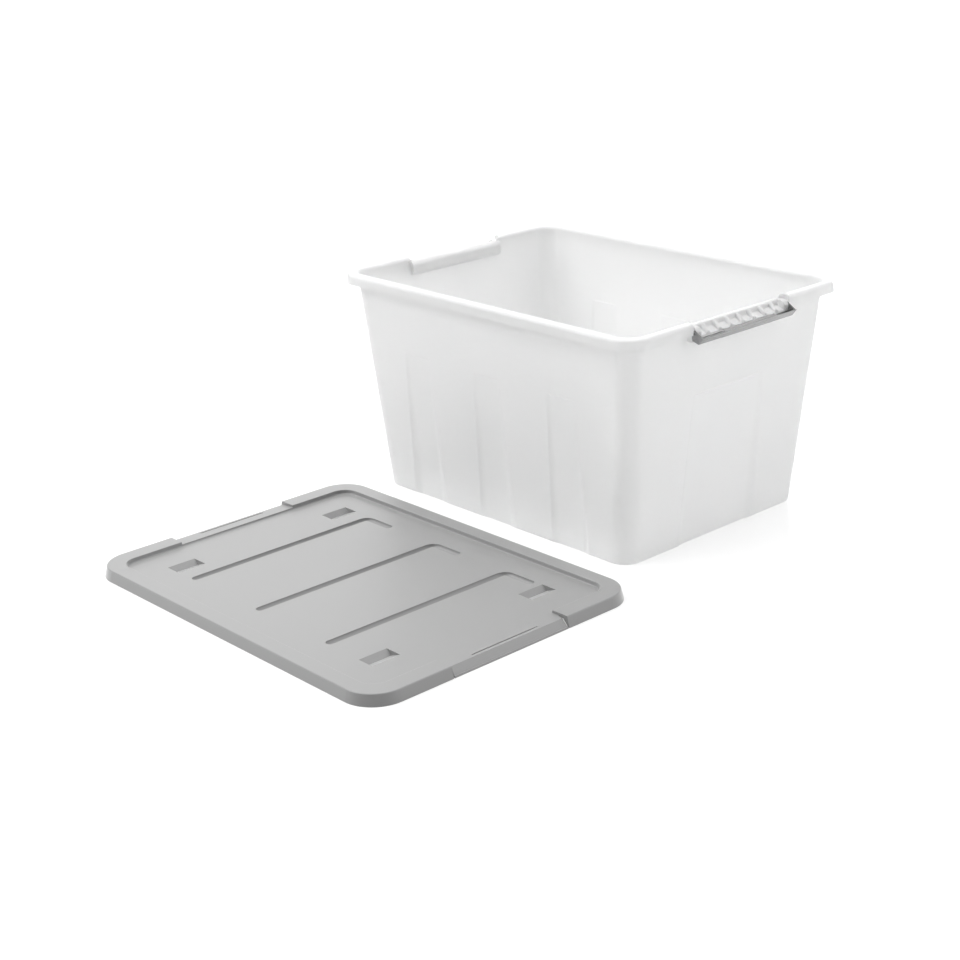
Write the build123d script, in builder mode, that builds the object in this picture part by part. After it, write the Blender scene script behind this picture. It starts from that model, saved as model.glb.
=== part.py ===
"""Stacking storage crate: a tub with a loose lid and two hinged sheet-metal clips.

X runs along the crate, from the left end (-X) to the right end (+X).
Y runs across it, and the front wall is at -Y.  Z is up, and the floor is at zero.
The lid lies on the floor in front of the tub, and both clips hang open.
"""
import os
from math import atan, cos, radians, sin, tan

from build123d import *

os.makedirs("parts", exist_ok=True)

# Tub shell: the rim's skirt has tighter corners at its foot than at its top
rim_length = 500.0
rim_width = 371.0
tub_height = 280.0
rim_radius = 33.0
skirt_radius = 22.0
skirt_inset = 1.0
skirt_depth = 13.5
rim_thickness = 2.0
rim_round = 4.0
rim_inner_round = 2.0
top_length = 478.6
top_width = 347.6
top_radius = 22.5
base_length = 425.8
base_width = 309.0
base_radius = 24.0
base_round = 3.0
wall = 2.0
floor_thickness = 2.6
mouth_round = 3.9
lean = (top_length - base_length) / (2 * tub_height)
side_lean = (top_width - base_width) / (2 * tub_height)

# Shallow panels pressed into the walls, with soft sloping sides
panel_top = 190.0
front_panels = 3
front_pitch = 124.0
front_panel_width = 52.0
front_panel_depth = 3.4
end_panel_width = 128.0
end_panel_depth = 4.0
panel_slope = 3.2
panel_soften = 28.0
panel_top_slope = 6.0
panel_fade = 2.4

# Hand grip moulded into each end of the rim; heights are measured down from the rim's top
grip_half = 83.8
saddle_half = 77.5
grip_corner = 5.0
ledge_drop = 4.4
ledge_end = 239.5
grip_back = 232.5
nose_drop = 21.0
nose_round = 6.5
rib_count = 7
rib_pitch = 19.8
rib_thickness = 6.4
rib_round = 2.6

# Clip hinge, and the clip drawn in its closed place about the hinge
hinge_x = 248.3
hinge_drop = 11.8
hinge_z = tub_height - hinge_drop
pin_radius = 1.5
pin_inner = 73.6
pin_outer = 82.1
lug_inner = 72.6
lug_outer = 80.2
ear_inner = 80.6
sheet = 1.0
ear_hole_clearance = 0.08
clip_swing = 128.5
closed_points = [(7.9, 3.2), (4.3, 12.1), (-5.3, 12.1), (-5.3, 8.8)]
hook_half = 44.5
bend_radius = 1.2

# Lid
lid_length = 509.8
lid_width = 381.2
lid_radius = 40.0
lid_height = 12.8
lid_taper = 3.2
lid_wall = 1.8
lid_round = 1.6
panel_length = 456.0
panel_width = 332.0
panel_radius = 18.0
panel_drop = 5.0
panel_draft = 1.5
step_foot_round = 2.2
step_lip_round = 0.8
lid_x = 22.8
lid_y = -393.9

# Lid ends: the border is lower along a notch, where the clip lies when it is shut
notch_half = 82.2
notch_drop = 2.8
notch_slope_top = 247.0
notch_slope_foot = 253.2
notch_foot_height = 2.0
slot_start = 239.0
slot_wide = 4.4
slot_narrow = 0.9
slit_x = 242.5
slit_width = 1.6
slit_half = 46.5

# Marks pressed into the lid's panel
groove_radius = 5.0
groove_depth = 4.6
groove_start = -136.0
groove_pitch = 123.0
groove_reach = 125.5
groove_foot = 40.5
groove_bend = 8.5
scoop_x = 175.0
scoop_y = 112.5
scoop_long = 37.0
scoop_wide = 22.0
scoop_depth = 5.2


def wall_plane(side_x, side_y):
    """Plane lying on the outside of one wall, with its local Y running up the wall."""
    if side_y:
        tilt = atan(side_lean)
        return Plane(
            origin=(0, side_y * base_width / 2, 0),
            x_dir=(-side_y, 0, 0),
            z_dir=(0, side_y * cos(tilt), -sin(tilt)),
        )
    tilt = atan(lean)
    return Plane(
        origin=(side_x * base_length / 2, 0, 0),
        x_dir=(0, side_x, 0),
        z_dir=(side_x * cos(tilt), 0, -sin(tilt)),
    )


def panel_tool(face, width, depth, inset, centre=0.0):
    """Bar with the section of one shallow panel, lying on a wall and moved inward by the inset.

    The bar leans outward, so the panel gets shallower toward its top.
    """
    run = panel_slope * depth
    far = width / 2 + 14
    outside = -3.0
    skim = -0.03
    section_plane = Plane(
        origin=face.from_local_coords((centre, -30, -inset)),
        x_dir=face.x_dir,
        z_dir=face.y_dir * panel_top + face.z_dir * panel_fade,
    )
    foot = width / 2 - run / 2
    lip = width / 2 + run / 2
    with BuildPart() as tool:
        with BuildSketch(section_plane):
            with BuildLine():
                half = [(-far, skim), (-lip, skim), (-foot, depth), (foot, depth), (lip, skim), (far, skim)]
                FilletPolyline(*half, radius=panel_soften)
                Polyline((far, skim), (far, outside), (-far, outside), (-far, skim))
            make_face()
        extrude(amount=30 + panel_top + 20)
        top_cut = Plane(
            origin=face.from_local_coords((centre, panel_top + inset, -inset)),
            x_dir=face.x_dir,
            z_dir=face.y_dir * depth + face.z_dir * -panel_top_slope,
        )
        split(bisect_by=top_cut, keep=Keep.BOTTOM)
    return tool.part


def all_panel_tools(inset):
    """The panel bars of all four walls."""
    tools = []
    for side in (-1, 1):
        for step in range(front_panels):
            centre = (step - (front_panels - 1) / 2) * front_pitch
            long_wall = wall_plane(0, side)
            tools.append(panel_tool(long_wall, front_panel_width, front_panel_depth, inset, centre))
        tools.append(panel_tool(wall_plane(side, 0), end_panel_width, end_panel_depth, inset))
    return tools


def below_rim(points):
    """Turn (x, drop below the rim's top) into (x, z)."""
    return [(x, tub_height - drop) for x, drop in points]


def end_profile(points, side, low, high, how):
    """Extrude a profile drawn in X and Z between two Y values, at one end of the crate."""
    with BuildSketch(Plane.XZ.offset(-low)) as profile:
        with BuildLine():
            Polyline(*[(side * x, z) for x, z in points], close=True)
        make_face()
    extrude(profile.sketch, amount=-(high - low), mode=how)


def soft_profile(points, side, half, radius):
    """Cut a profile with rounded corners, drawn in X and Z, from both sides of the middle."""
    with BuildSketch(Plane.XZ) as profile:
        with BuildLine():
            FilletPolyline(*[(side * x, z) for x, z in points], radius=radius, close=True)
        make_face()
    extrude(profile.sketch, amount=half, both=True, mode=Mode.SUBTRACT)


# Hollow of the tub, with the backs of the panels and grips left standing in it
with BuildPart() as hollow:
    with BuildSketch(Plane.XY.offset(floor_thickness)):
        RectangleRounded(base_length - 2 * wall, base_width - 2 * wall, base_radius - wall)
    with BuildSketch(Plane.XY.offset(tub_height)):
        RectangleRounded(top_length - 2 * wall, top_width - 2 * wall, top_radius - wall)
    loft()
    fillet(hollow.faces().sort_by(Axis.Z)[0].edges(), 7.0)
    with BuildSketch(Plane.XY.offset(tub_height)):
        Rectangle(rim_length + 20, rim_width + 20)
    extrude(amount=4)
    at_mouth = hollow.edges().filter_by_position(Axis.Z, tub_height - 0.01, tub_height + 0.01)
    fillet(at_mouth.filter_by(lambda edge: edge.bounding_box().size.length < rim_length)
           .filter_by(lambda edge: abs(edge.center().X) < top_length / 2 and abs(edge.center().Y) < top_width / 2),
           mouth_round)
    for tool in all_panel_tools(wall):
        add(tool, mode=Mode.SUBTRACT)
    for side in (-1, 1):
        inner = grip_back - wall
        nose = [(262, nose_drop + 20), (inner + 9, nose_drop + 7), (inner, nose_drop - 2)]
        nose += [(inner, ledge_drop), (262, ledge_drop)]
        soft_profile(below_rim(nose), side, saddle_half, nose_round)

# Ribs of both grips, rounded along their tops
with BuildPart() as ribs:
    for side in (-1, 1):
        rib = below_rim([(ledge_end - 0.5, 12), (ledge_end - 0.5, ledge_drop + 0.9), (242.6, ledge_drop + 1.6)])
        rib += below_rim([(250.0, 12.6), (250.0, 16.3), (247.0, 16.3), (241.0, 13.0)])
        for step in range(rib_count):
            middle = (step - (rib_count - 1) / 2) * rib_pitch
            end_profile(rib, side, middle - rib_thickness / 2, middle + rib_thickness / 2, Mode.ADD)
    tops = ribs.edges().filter_by(Axis.Y, reverse=True).filter_by_position(Axis.Z, tub_height - 13, tub_height)
    fillet(tops.filter_by(lambda edge: edge.bounding_box().min.Z > tub_height - 13
                          and edge.bounding_box().size.X > 1), rib_round)

# Space inside the rim's skirt
with BuildPart() as skirt_space:
    inset = skirt_inset + wall
    with BuildSketch(Plane.XY.offset(tub_height - skirt_depth)):
        RectangleRounded(rim_length - 2 * inset, rim_width - 2 * inset, skirt_radius - wall)
    with BuildSketch(Plane.XY.offset(tub_height - rim_thickness)):
        RectangleRounded(rim_length - 2 * wall, rim_width - 2 * wall, rim_radius - wall)
    loft()
    fillet(skirt_space.faces().sort_by(Axis.Z)[-1].edges(), rim_inner_round)

with BuildPart() as tub:
    with BuildSketch(Plane.XY.offset(tub_height - skirt_depth)):
        RectangleRounded(rim_length - 2 * skirt_inset, rim_width - 2 * skirt_inset, skirt_radius)
    with BuildSketch(Plane.XY.offset(tub_height)):
        RectangleRounded(rim_length, rim_width, rim_radius)
    loft()
    fillet(tub.faces().sort_by(Axis.Z)[-1].edges(), rim_round)
    add(skirt_space.part, mode=Mode.SUBTRACT)
    with BuildSketch(Plane.XY):
        RectangleRounded(base_length, base_width, base_radius)
    with BuildSketch(Plane.XY.offset(tub_height)):
        RectangleRounded(top_length, top_width, top_radius)
    loft()
    fillet(tub.faces().sort_by(Axis.Z)[0].edges(), base_round)
    for tool in all_panel_tools(0.0):
        add(tool, mode=Mode.SUBTRACT)
    for side in (-1, 1):
        with BuildSketch(Plane.XY.offset(tub_height - 35)):
            with Locations((side * (ledge_end + 20), 0)):
                RectangleRounded(40, 2 * grip_half, grip_corner)
        extrude(amount=40, mode=Mode.SUBTRACT)
        with BuildSketch(Plane.YZ.offset(side * 222)):
            with Locations((0, tub_height - ledge_drop + 10)):
                RectangleRounded(2 * saddle_half, 20, grip_corner)
        extrude(amount=side * 40, mode=Mode.SUBTRACT)
        pocket = [(252, nose_drop + 15), (grip_back + 8, nose_drop + 4.5), (grip_back, nose_drop - 3)]
        pocket += [(grip_back, ledge_drop + wall), (252, ledge_drop + wall)]
        soft_profile(below_rim(pocket), side, saddle_half - wall, nose_round - wall)
    add(hollow.part, mode=Mode.SUBTRACT)
    for side in (-1, 1):
        apron = below_rim([
            (grip_back + 3, ledge_drop),
            (ledge_end, ledge_drop),
            (ledge_end + 0.9, ledge_drop + 1.0),
            (241.2, 10.6),
            (249.5, 15.5),
            (249.5, 17.5),
            (247.9, 17.5),
            (240.2, 13.0),
            (238.6, ledge_drop + 2.2),
            (grip_back + 3, ledge_drop + 2.2),
        ])
        end_profile(apron, side, -lug_outer, lug_outer, Mode.ADD)
    add(ribs.part)
    for side in (-1, 1):
        lug = [
            (grip_back + 3, hinge_z - 11.4),
            (244.4, hinge_z - 11.4),
            (244.4, hinge_z - 6.2),
            (248.3, hinge_z - 5.8),
            (250.0, hinge_z - 4.0),
            (250.8, hinge_z - 1.0),
            (250.8, hinge_z + 1.6),
            (248.4, hinge_z + 5.6),
            (244.6, hinge_z + 7.2),
            (grip_back + 3, hinge_z + 7.2),
        ]
        for end in (-1, 1):
            low, high = sorted((end * lug_inner, end * lug_outer))
            end_profile(lug, side, low, high, Mode.ADD)
            low, high = sorted((end * (pin_inner - 0.3), end * (lug_outer + 1)))
            with BuildSketch(Plane.XZ.offset(-low)):
                with Locations((side * hinge_x, hinge_z)):
                    Circle(pin_radius)
            extrude(amount=-(high - low), mode=Mode.SUBTRACT)

tub.part.label = "tub"
export_step(tub.part, "parts/tub.step")


def build_clip(side, name):
    """Bend one clip from sheet in its closed place, then swing it open."""
    with BuildPart() as clip:
        line = [(side * (hinge_x + x), hinge_z + z) for x, z in closed_points]
        for points, half in ((line[:3], ear_inner + sheet), (line[1:], hook_half)):
            with BuildSketch(Plane.XZ):
                with BuildLine():
                    FilletPolyline(*points, radius=bend_radius)
                    offset(amount=sheet / 2)
                make_face()
            extrude(amount=half, both=True)
        ear = [(8.2, 3.2), (7.2, 1.8), (3.2, -2.6), (0, -3.8), (-3.2, -2.4), (-4.9, 10.6)]
        ear += [(-5.1, 12.4), (4.1, 12.4)]
        for end in (-1, 1):
            low, high = sorted((end * ear_inner, end * (ear_inner + sheet)))
            end_profile([(hinge_x + x, hinge_z + z) for x, z in ear], side, low, high, Mode.ADD)
            with BuildSketch(Plane.XZ.offset(-low)):
                with Locations((side * hinge_x, hinge_z)):
                    Circle(pin_radius + ear_hole_clearance)
            extrude(amount=-(high - low), mode=Mode.SUBTRACT)
    hinge = Axis((side * hinge_x, 0, hinge_z), (0, side, 0))
    opened = clip.part.rotate(hinge, clip_swing)
    opened.label = name
    export_step(opened, "parts/" + name + ".step")
    return opened


right_clip = build_clip(1, "right_clip")
left_clip = build_clip(-1, "left_clip")


def build_pin(side, end, name):
    """Hinge pin pressed into one lug, with a small chamfer on both ends."""
    with BuildPart() as pin:
        low, high = sorted((end * pin_inner, end * pin_outer))
        with BuildSketch(Plane.XZ.offset(-low)):
            with Locations((side * hinge_x, hinge_z)):
                Circle(pin_radius)
        extrude(amount=-(high - low))
        chamfer(pin.edges().filter_by(GeomType.CIRCLE), 0.3)
    pin.part.label = name
    export_step(pin.part, "parts/" + name + ".step")


build_pin(-1, -1, "left_front_pin")
build_pin(-1, 1, "left_back_pin")
build_pin(1, -1, "right_front_pin")
build_pin(1, 1, "right_back_pin")

# Lid, drawn about its own centre and then moved to its place on the floor
panel_level = lid_height - panel_drop
notch_top = lid_height - notch_drop


def lid_outline(height, shrink):
    """Rounded outline of the lid's side at one height, shrunk inward on every side."""
    narrow = lid_taper * height / lid_height + shrink
    with BuildSketch(Plane.XY.offset(height)) as outline:
        RectangleRounded(lid_length - 2 * narrow, lid_width - 2 * narrow, lid_radius - narrow)
    return outline.sketch


def sunk_outline(height, shift):
    """Outline of the sunk panel's border at one height, moved outward by the shift."""
    grown = panel_draft * (height - panel_level) / panel_drop + shift
    with BuildSketch(Plane.XY.offset(height)) as outline:
        RectangleRounded(panel_length + 2 * grown, panel_width + 2 * grown, panel_radius + grown)
    return outline.sketch


def groove_tool(start, grow):
    """Round bar with ball ends along one L-shaped groove, thicker by the growth."""
    radius = groove_radius + grow
    height = panel_level - groove_depth + groove_radius
    head = (start, -groove_reach, height)
    tail = (start + groove_foot, groove_reach, height)
    with BuildPart() as tool:
        with BuildLine():
            FilletPolyline(head, (start, groove_reach, height), tail, radius=groove_bend)
        with BuildSketch(Plane(origin=head, z_dir=(0, 1, 0))):
            Circle(radius)
        sweep()
        with Locations(head, tail):
            Sphere(radius)
    return tool.part


def pressed_marks(grow):
    """Cut the grooves and the scoops into the panel, grown by a wall where asked."""
    for step in range(3):
        add(groove_tool(groove_start + step * groove_pitch, grow), mode=Mode.SUBTRACT)
    top = panel_level + 1
    half = scoop_long / 2 + grow
    for x in (-scoop_x, scoop_x):
        left = x - scoop_wide / 2 - 1.2 * grow
        right = x + scoop_wide / 2 + 1.2 * grow
        bottom = (x - scoop_wide / 8, panel_level - scoop_depth - grow)
        shape = [(left, panel_level), (left, top), (right, top), (right, panel_level), bottom]
        for y in (-scoop_y, scoop_y):
            end_profile(shape, 1, y - half, y + half, Mode.SUBTRACT)


with BuildPart() as under:
    loft([lid_outline(-1, lid_wall), lid_outline(lid_height - lid_wall, lid_wall)])
    sunk = [sunk_outline(panel_level - lid_wall, lid_wall), sunk_outline(lid_height, lid_wall)]
    loft(sunk, mode=Mode.SUBTRACT)
    pressed_marks(lid_wall)
    inner_foot = notch_slope_foot - lid_wall + 0.2
    inner_top = notch_slope_top - lid_wall + 0.4
    shape = [
        (panel_length / 2 + 2, notch_top - lid_wall),
        (inner_top, notch_top - lid_wall),
        (inner_foot, notch_foot_height - 0.4),
        (inner_foot, -2),
        (270, -2),
        (270, 20),
        (panel_length / 2 + 2, 20),
    ]
    for side in (-1, 1):
        end_profile(shape, side, -notch_half - lid_wall, notch_half + lid_wall, Mode.SUBTRACT)

with BuildPart() as lid:
    loft([lid_outline(0, 0), lid_outline(lid_height, 0)])
    fillet(lid.faces().sort_by(Axis.Z)[-1].edges(), lid_round)
    loft([sunk_outline(panel_level, 0), sunk_outline(lid_height + 1, 0)], mode=Mode.SUBTRACT)
    panel_face = lid.faces().filter_by(Axis.Z).filter_by_position(Axis.Z, panel_level - 0.01, panel_level + 0.01)
    fillet(panel_face.edges(), step_foot_round)
    border_face = lid.faces().filter_by(Axis.Z).sort_by(Axis.Z)[-1]
    fillet(border_face.inner_wires()[0].edges(), step_lip_round)
    pressed_marks(0)
    shape = [
        (panel_length / 2 - 6, notch_top),
        (notch_slope_top, notch_top),
        (notch_slope_foot, notch_foot_height),
        (270, notch_foot_height),
        (270, 20),
        (panel_length / 2 - 6, 20),
    ]
    for side in (-1, 1):
        end_profile(shape, side, -notch_half, notch_half, Mode.SUBTRACT)
    add(under.part, mode=Mode.SUBTRACT)
    for side in (-1, 1):
        for end in (-1, 1):
            for height, narrowing in ((-1.0, slot_narrow), (lid_height + 1, slot_wide)):
                with BuildSketch(Plane.XY.offset(height)):
                    with BuildLine():
                        Polyline(
                            (side * slot_start, end * (notch_half - slot_narrow)),
                            (side * slot_start, end * notch_half),
                            (side * 270, end * notch_half),
                            (side * 270, end * (notch_half - narrowing * 1.6)),
                            (side * 249, end * (notch_half - narrowing)),
                            close=True,
                        )
                    make_face()
            loft(mode=Mode.SUBTRACT)
        slit = [(slit_x - slit_width / 2, 4), (slit_x + slit_width / 2, 4)]
        slit += [(slit_x + slit_width / 2, 20), (slit_x - slit_width / 2, 20)]
        end_profile(slit, side, -slit_half, slit_half, Mode.SUBTRACT)

placed_lid = lid.part.moved(Location((lid_x, lid_y, 0)))
placed_lid.label = "lid"
export_step(placed_lid, "parts/lid.step")
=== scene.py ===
"""Looks of the stacking crate: frosted tub, grey lid, steel clips and pins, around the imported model."""
import math

import bpy
from mathutils import Matrix, Vector


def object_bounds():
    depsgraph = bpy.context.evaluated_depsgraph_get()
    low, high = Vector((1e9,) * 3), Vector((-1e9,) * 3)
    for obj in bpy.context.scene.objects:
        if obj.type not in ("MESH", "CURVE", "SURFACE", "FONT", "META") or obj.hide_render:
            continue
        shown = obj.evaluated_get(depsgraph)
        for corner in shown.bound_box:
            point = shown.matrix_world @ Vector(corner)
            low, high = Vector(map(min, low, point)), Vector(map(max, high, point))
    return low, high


# Camera: metres, degrees, and millimetres for the lens and the sensor
CAMERA_PLACE = Vector((1.5022, -1.5335, 0.8072))
CAMERA_AZIMUTH = 48.03
CAMERA_ELEVATION = 20.23
CAMERA_ROLL = -1.973
CAMERA_LENS = 67.27
CAMERA_SENSOR = 36.0
CAMERA_FAR = 100.0

# Plastic of the tub: base colour range, roughness range, and the share of light that passes through
TUB_COLOURS = ((0.965, 0.967, 0.967, 1), (0.982, 0.982, 0.982, 1))
TUB_ROUGHNESS = (0.56, 0.64)
TUB_INDEX = 1.46
TUB_TRANSMISSION = 0.5
TUB_GRAIN = 0.12

# Plastic of the lid, with a satin sheen
LID_GREYS = (0.225, 0.24)
LID_ROUGHNESS = (0.42, 0.50)
LID_INDEX = 1.50
LID_SHEEN_ROUGHNESS = 0.35
LID_COAT_ROUGHNESS = 0.42
LID_GRAIN = 0.15

# Steel of the clips and of the pins: grey value and roughness
CLIP_STEEL = (0.33, 0.26)
PIN_STEEL = (0.30, 0.35)
SPOT_SHADE = 0.92
MARK_SMOOTHER = 0.06
MARK_ROUGHER = 0.08
STEEL_GRAIN = 0.15

# Height of the grain on every material, in metres, and the part of a noise texture's range in use
GRAIN_HEIGHT = 0.0002
NOISE_SPAN = (0.3, 0.7)
NOISE_ROUGHNESS = 0.5

# Studio floor: it glows a little, so that it stays white around the object
FLOOR_HALF = 14.0
FLOOR_BELOW = -0.0003
FLOOR_GREYS = (0.55, 0.57)
FLOOR_ROUGHNESS = 0.10
FLOOR_INDEX = 1.35
FLOOR_GLOW = 0.45

# Light of the room: it grows from the horizon up to the ceiling, and fades toward the dark side
WALL_LIGHT = 0.62
CEILING_LIGHT = 1.35
CEILING_START = 0.7
WORLD_DARK = 0.05
DARK_SIDE = (0.743, -0.669, 0.0)
DARK_EDGE = 0.8

# Soft boxes: name, place, size (metres) and power (watts)
# All of them aim at the object's middle in plan, at this height above the floor
AIM_HEIGHT = 0.1
SOFT_BOXES = (
    ("back_box", (-2.3, 2.3, 1.0), (3.4, 1.0), 10),
    ("left_box", (-1.3, -2.3, 1.9), (2.0, 1.6), 23),
    ("right_box", (2.5, 1.2, 1.3), (2.0, 1.6), 16),
    ("overhead_box", (-0.5, -0.9, 2.4), (2.4, 2.4), 28),
)

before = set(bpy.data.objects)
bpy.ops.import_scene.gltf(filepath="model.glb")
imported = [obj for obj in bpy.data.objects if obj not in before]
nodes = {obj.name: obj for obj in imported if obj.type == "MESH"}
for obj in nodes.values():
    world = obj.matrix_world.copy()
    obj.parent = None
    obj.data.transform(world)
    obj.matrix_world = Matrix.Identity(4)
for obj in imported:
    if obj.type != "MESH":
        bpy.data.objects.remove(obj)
cad_low, cad_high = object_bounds()
middle = (cad_low + cad_high) / 2


# ---------------------------------------------------------------- node helpers
def map_range(tree, source, source_span, target_span):
    """Map a value from one span onto another."""
    mapped = tree.nodes.new("ShaderNodeMapRange")
    limits = ("From Min", "From Max", "To Min", "To Max")
    for limit, value in zip(limits, (*source_span, *target_span)):
        mapped.inputs[limit].default_value = value
    tree.links.new(source, mapped.inputs["Value"])
    return mapped


class Tree:
    """Short hand for building one material's node tree."""

    def __init__(self, name):
        self.material = bpy.data.materials.new(name)
        self.material.use_nodes = True
        self.tree = self.material.node_tree
        self.tree.nodes.clear()
        self.output = self.tree.nodes.new("ShaderNodeOutputMaterial")

    def node(self, kind, **settings):
        """Add a node, and set its sockets or its properties by name."""
        made = self.tree.nodes.new("ShaderNode" + kind)
        for key, value in settings.items():
            if key in made.inputs:
                made.inputs[key].default_value = value
            else:
                setattr(made, key, value)
        return made

    def link(self, source, target):
        """Join an output to an input."""
        self.tree.links.new(source, target)

    def noise(self, scale, detail, stretch=(1, 1, 1)):
        """Noise in the object's own coordinates, stretched along its axes."""
        coordinates = self.node("TexCoord")
        mapping = self.node("Mapping", Scale=stretch)
        texture = self.node("TexNoise", Scale=scale, Detail=detail, Roughness=NOISE_ROUGHNESS)
        self.link(coordinates.outputs["Object"], mapping.inputs["Vector"])
        self.link(mapping.outputs["Vector"], texture.inputs["Vector"])
        return texture.outputs["Fac"]

    def spread(self, noise, low, high):
        """Map a noise onto a range of values."""
        return map_range(self.tree, noise, NOISE_SPAN, (low, high)).outputs["Result"]

    def blend(self, factor, first, second):
        """Mix two colours by a factor."""
        mixed = self.node("Mix", data_type="RGBA")
        self.link(factor, mixed.inputs["Factor"])
        for socket in mixed.inputs:
            if socket.type == "RGBA":
                socket.default_value = first if socket.name == "A" else second
        return next(socket for socket in mixed.outputs if socket.type == "RGBA")

    def grain(self, height, strength):
        """Normal of a fine surface texture, from a height."""
        made = self.node("Bump", Strength=strength, Distance=GRAIN_HEIGHT)
        self.link(height, made.inputs["Height"])
        return made.outputs["Normal"]

    def finish(self, shader, colour):
        """Link the colour and the shader, and hand back the finished material."""
        self.link(colour, shader.inputs["Base Color"])
        self.link(shader.outputs["BSDF"], self.output.inputs["Surface"])
        return self.material


def grey(value):
    """Opaque colour with equal red, green and blue."""
    return (value, value, value, 1.0)


def paint(target, material):
    """Give an object one material."""
    target.data.materials.clear()
    target.data.materials.append(material)


# ---------------------------------------------------------------- materials
def frosted_plastic():
    """Natural polypropylene: milky, lets light through, faint mould texture."""
    t = Tree("tub_plastic")
    clouds = t.noise(9.0, detail=4.0)
    grain = t.noise(900.0, detail=2.0)
    colour = t.blend(t.spread(clouds, 0, 1), *TUB_COLOURS)
    shader = t.node("BsdfPrincipled", IOR=TUB_INDEX)
    shader.inputs["Transmission Weight"].default_value = TUB_TRANSMISSION
    t.link(t.spread(clouds, *TUB_ROUGHNESS), shader.inputs["Roughness"])
    t.link(t.grain(grain, TUB_GRAIN), shader.inputs["Normal"])
    return t.finish(shader, colour)


def grey_plastic():
    """Mid grey polypropylene with a satin spark-eroded finish."""
    t = Tree("lid_plastic")
    clouds = t.noise(7.0, detail=5.0)
    grain = t.noise(1100.0, detail=3.0)
    colour = t.blend(t.spread(clouds, 0, 1), *[grey(value) for value in LID_GREYS])
    shader = t.node("BsdfPrincipled", IOR=LID_INDEX)
    shader.inputs["Sheen Weight"].default_value = 1.0
    shader.inputs["Sheen Roughness"].default_value = LID_SHEEN_ROUGHNESS
    shader.inputs["Coat Weight"].default_value = 1.0
    shader.inputs["Coat Roughness"].default_value = LID_COAT_ROUGHNESS
    t.link(t.spread(clouds, *LID_ROUGHNESS), shader.inputs["Roughness"])
    t.link(t.grain(grain, LID_GRAIN), shader.inputs["Normal"])
    return t.finish(shader, colour)


def sheet_steel(name, value, roughness):
    """Bright plated steel with fine rolling marks along its length."""
    t = Tree(name)
    marks = t.noise(260.0, detail=4.0, stretch=(6.0, 0.05, 6.0))
    spots = t.noise(60.0, detail=3.0)
    colour = t.blend(t.spread(spots, 0, 1), grey(value * SPOT_SHADE), grey(value))
    shader = t.node("BsdfPrincipled", Metallic=1.0)
    rolled = t.spread(marks, roughness - MARK_SMOOTHER, roughness + MARK_ROUGHER)
    t.link(rolled, shader.inputs["Roughness"])
    t.link(t.grain(marks, STEEL_GRAIN), shader.inputs["Normal"])
    return t.finish(shader, colour)


def paint_nodes():
    """Plastic on the tub and the lid, steel on every clip and pin."""
    paint(nodes["tub"], frosted_plastic())
    paint(nodes["lid"], grey_plastic())
    clip_steel = sheet_steel("clip_steel", *CLIP_STEEL)
    pin_steel = sheet_steel("pin_steel", *PIN_STEEL)
    for name, node in nodes.items():
        if name.endswith("_clip"):
            paint(node, clip_steel)
        if name.endswith("_pin"):
            paint(node, pin_steel)


# ---------------------------------------------------------------- studio
def floor_material():
    """Pale, faintly glossy floor that gives a little light of its own."""
    t = Tree("studio_floor")
    clouds = t.noise(0.6, detail=2.0)
    colour = t.blend(t.spread(clouds, 0, 1), *[grey(value) for value in FLOOR_GREYS])
    shader = t.node("BsdfPrincipled", Roughness=FLOOR_ROUGHNESS, IOR=FLOOR_INDEX)
    shader.inputs["Emission Color"].default_value = grey(1.0)
    shader.inputs["Emission Strength"].default_value = FLOOR_GLOW
    return t.finish(shader, colour)


def build_floor():
    """One large square, just below the object."""
    mesh = bpy.data.meshes.new("studio_floor")
    corners = [(-1, -1), (1, -1), (1, 1), (-1, 1)]
    points = [(middle.x + x * FLOOR_HALF, middle.y + y * FLOOR_HALF, FLOOR_BELOW) for x, y in corners]
    mesh.from_pydata(points, [], [(0, 1, 2, 3)])
    floor = bpy.data.objects.new("studio_floor", mesh)
    bpy.context.scene.collection.objects.link(floor)
    paint(floor, floor_material())


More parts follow.
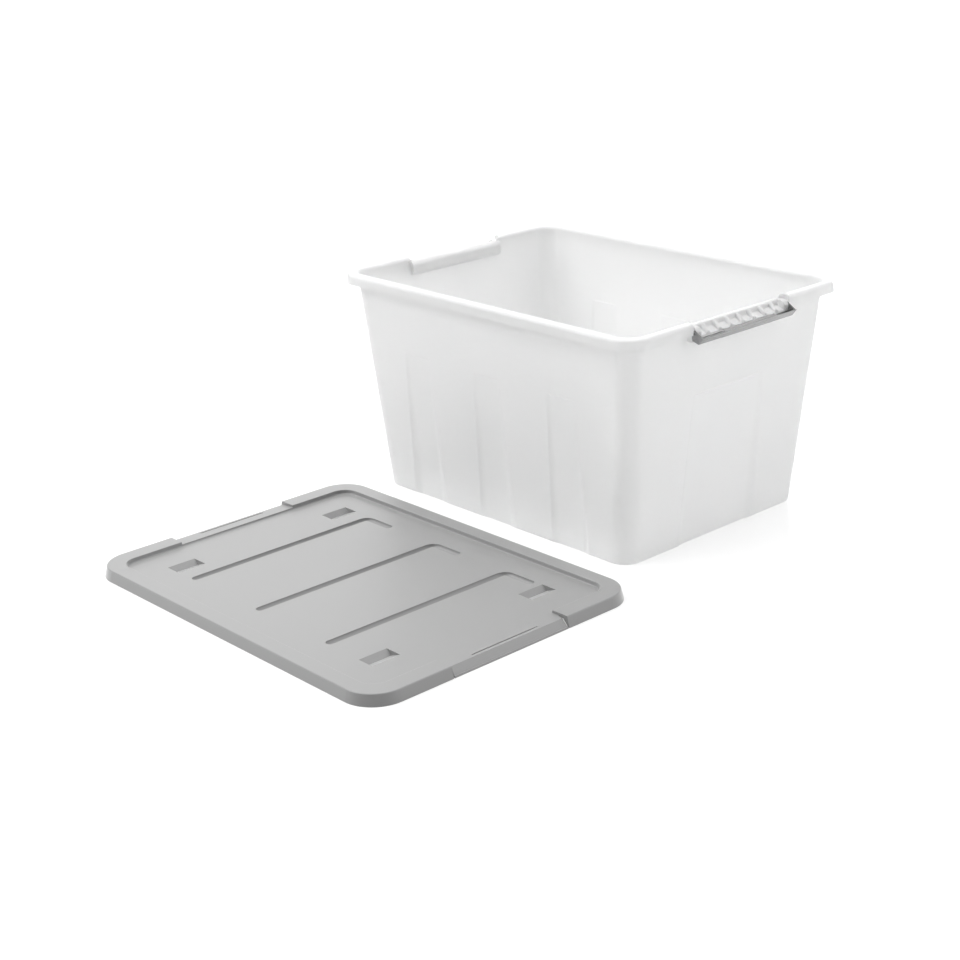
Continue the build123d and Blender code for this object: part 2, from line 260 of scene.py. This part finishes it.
def build_world():
    """Room with a bright ceiling, dimmer walls, and one dark side."""
    world = bpy.data.worlds.new("studio_world")
    world.use_nodes = True
    tree = world.node_tree
    background = tree.nodes["Background"]
    coordinates = tree.nodes.new("ShaderNodeTexCoord")
    toward = tree.nodes.new("ShaderNodeVectorMath")
    toward.operation = "DOT_PRODUCT"
    toward.inputs[1].default_value = DARK_SIDE
    tree.links.new(coordinates.outputs["Generated"], toward.inputs[0])
    side = map_range(tree, toward.outputs["Value"], (0.0, DARK_EDGE), (1.0, WORLD_DARK))
    side.interpolation_type = "SMOOTHSTEP"
    split = tree.nodes.new("ShaderNodeSeparateXYZ")
    tree.links.new(coordinates.outputs["Generated"], split.inputs["Vector"])
    upward = map_range(tree, split.outputs["Z"], (0.0, CEILING_START), (WALL_LIGHT, CEILING_LIGHT))
    product = tree.nodes.new("ShaderNodeMath")
    product.operation = "MULTIPLY"
    tree.links.new(side.outputs["Result"], product.inputs[0])
    tree.links.new(upward.outputs["Result"], product.inputs[1])
    tree.links.new(product.outputs["Value"], background.inputs["Strength"])
    background.inputs["Color"].default_value = grey(1.0)
    bpy.context.scene.world = world


def soft_box(name, place, size, power):
    """Rectangular area light aimed at the object, a little below its middle."""
    light = bpy.data.lights.new(name, "AREA")
    light.shape = "RECTANGLE"
    light.size, light.size_y = size
    light.energy = power
    lamp = bpy.data.objects.new(name, light)
    lamp.location = place
    lamp.rotation_mode = "QUATERNION"
    aim = Vector((middle.x, middle.y, AIM_HEIGHT))
    lamp.rotation_quaternion = (aim - Vector(place)).to_track_quat("-Z", "Y")
    bpy.context.scene.collection.objects.link(lamp)


def build_camera():
    """Camera turned by its azimuth, elevation and roll."""
    azimuth = math.radians(CAMERA_AZIMUTH)
    elevation = math.radians(CAMERA_ELEVATION)
    roll = math.radians(CAMERA_ROLL)
    level = math.cos(elevation)
    back = Vector((math.sin(azimuth) * level, -math.cos(azimuth) * level, math.sin(elevation)))
    level_right = Vector((0, 0, 1)).cross(back).normalized()
    level_up = back.cross(level_right)
    right = level_right * math.cos(roll) + level_up * math.sin(roll)
    up = level_up * math.cos(roll) - level_right * math.sin(roll)
    data = bpy.data.cameras.new("camera")
    data.sensor_width = CAMERA_SENSOR
    data.lens = CAMERA_LENS
    data.clip_end = CAMERA_FAR
    camera = bpy.data.objects.new("camera", data)
    turn = Matrix((right, up, back)).transposed().to_4x4()
    camera.matrix_world = Matrix.Translation(CAMERA_PLACE) @ turn
    bpy.context.scene.collection.objects.link(camera)
    bpy.context.scene.camera = camera


paint_nodes()
build_floor()
build_world()
build_camera()
for box in SOFT_BOXES:
    soft_box(*box)
bpy.context.scene.view_settings.view_transform = "Standard"
